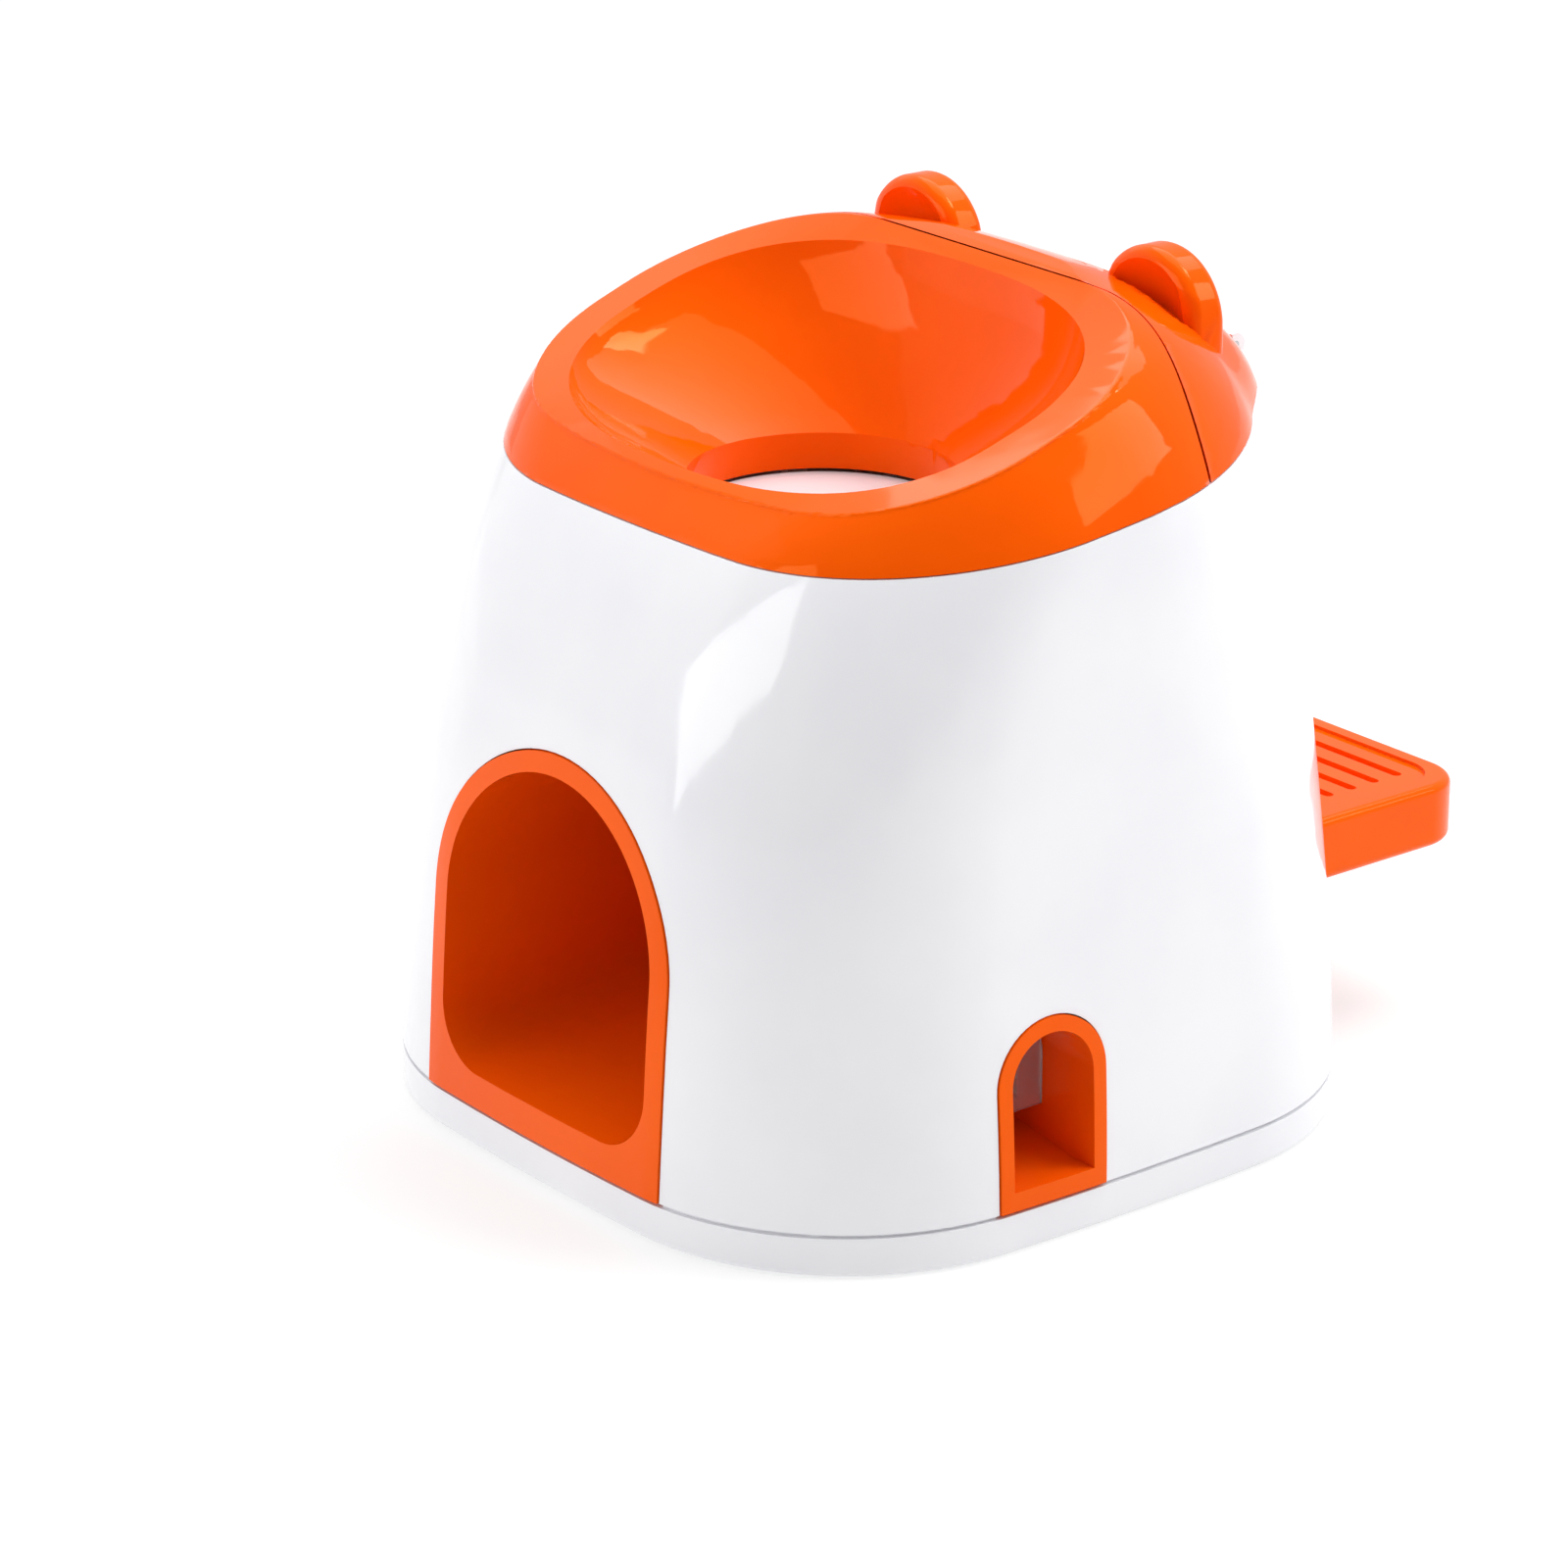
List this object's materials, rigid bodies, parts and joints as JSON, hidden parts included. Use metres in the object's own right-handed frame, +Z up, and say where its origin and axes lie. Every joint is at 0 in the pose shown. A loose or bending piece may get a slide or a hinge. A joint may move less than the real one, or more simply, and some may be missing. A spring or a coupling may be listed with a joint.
{
  "type": "pet ball dispenser",
  "caption": "Domed pet ball dispenser: ball bowl on top, front ball arch, side treat spout with flap, eared rear lid and rear foot pedal that opens a gate and turns a treat wheel.",
  "frame": {"origin": "centre of the foot on the surface that it stands on", "axes": "+Z up; front, with the ball arch, towards -Y; treat spout towards +X; pedal towards +Y"},
  "size_m": [0.2254, 0.2798, 0.2395],
  "materials": {
    "orange_abs": "polished mould, gloss",
    "white_abs": "polished mould, gloss",
    "natural_pp": "plain moulded, satin",
    "gear_acetal": "moulded, satin",
    "clear_flap": "clear moulded plastic",
    "steel_pin": "ground",
    "spring_steel": "drawn wire",
    "zinc_screw": "zinc plated",
    "soft_rubber": "matt"
  },
  "bodies": {
    "housing": {"base_plate": "white_abs", "base_screws": "zinc_screw", "body_shell": "white_abs", "flap_pin": "steel_pin", "front_tunnel": "orange_abs", "funnel_cap": "orange_abs", "idler_pin": "steel_pin", "left_bearing_plate": "natural_pp", "lid_hinge_pin": "steel_pin", "lid_seal": "soft_rubber", "outer_cheek": "natural_pp", "pedal_bumpers": "soft_rubber", "pedal_clips": "steel_pin", "pedal_shaft": "steel_pin", "pedal_spring": "spring_steel", "plate_screws": "zinc_screw", "right_bearing_plate": "natural_pp", "rubber_pads": "soft_rubber", "treat_chute": "natural_pp", "treat_hopper": "natural_pp", "treat_spout": "orange_abs"},
    "pedal": {"pedal": "orange_abs", "pedal_bushes": "gear_acetal", "pedal_sector": "gear_acetal", "sector_screws": "zinc_screw"},
    "treat_wheel": {"treat_wheel": "gear_acetal", "wheel_shaft": "steel_pin", "wheel_pinion": "gear_acetal", "gate_drive_gear": "gear_acetal"},
    "idler": {"idler_gear": "gear_acetal"},
    "ball_gate": {"ball_gate": "white_abs", "gate_shaft": "steel_pin", "gate_gear": "gear_acetal", "gate_clips": "steel_pin"},
    "rear_lid": {"rear_lid": "orange_abs"},
    "treat_flap": {"treat_flap": "clear_flap"}
  },
  "joints": [
    {"name": "pedal_press", "type": "hinge", "parent": "housing", "child": "pedal", "pos_m": [0, 0.056, 0.057], "axis": [-1, 0, 0], "range_deg": [0, 10], "stiffness_Nm_per_rad": 2, "springref_deg": -14.32, "deforming": ["pedal_spring"]},
    {"name": "wheel_turn", "type": "hinge", "parent": "housing", "child": "treat_wheel", "pos_m": [0, 0.056, 0.099], "axis": [1, 0, 0], "range_deg": [0, 60]},
    {"name": "idler_turn", "type": "hinge", "parent": "housing", "child": "idler", "pos_m": [0, 0.041, 0.12839], "axis": [-1, 0, 0], "range_deg": [0, 22.5]},
    {"name": "gate_drop", "type": "hinge", "parent": "housing", "child": "ball_gate", "pos_m": [0, 0.026, 0.15779], "axis": [1, 0, 0], "range_deg": [0, 60]},
    {"name": "lid_hinge", "type": "hinge", "parent": "housing", "child": "rear_lid", "pos_m": [0, 0.0959, 0.20136], "axis": [-1, 0, 0], "range_deg": [0, 90]},
    {"name": "flap_swing", "type": "hinge", "parent": "housing", "child": "treat_flap", "pos_m": [0.0912, -0.029, 0.052], "axis": [0, -1, 0], "range_deg": [0, 40]}
  ],
  "couplings": [
    {"joint": "wheel_turn", "follows": "pedal_press", "ratio": 6},
    {"joint": "idler_turn", "follows": "pedal_press", "ratio": 2.25},
    {"joint": "gate_drop", "follows": "pedal_press", "ratio": 6}
  ]
}
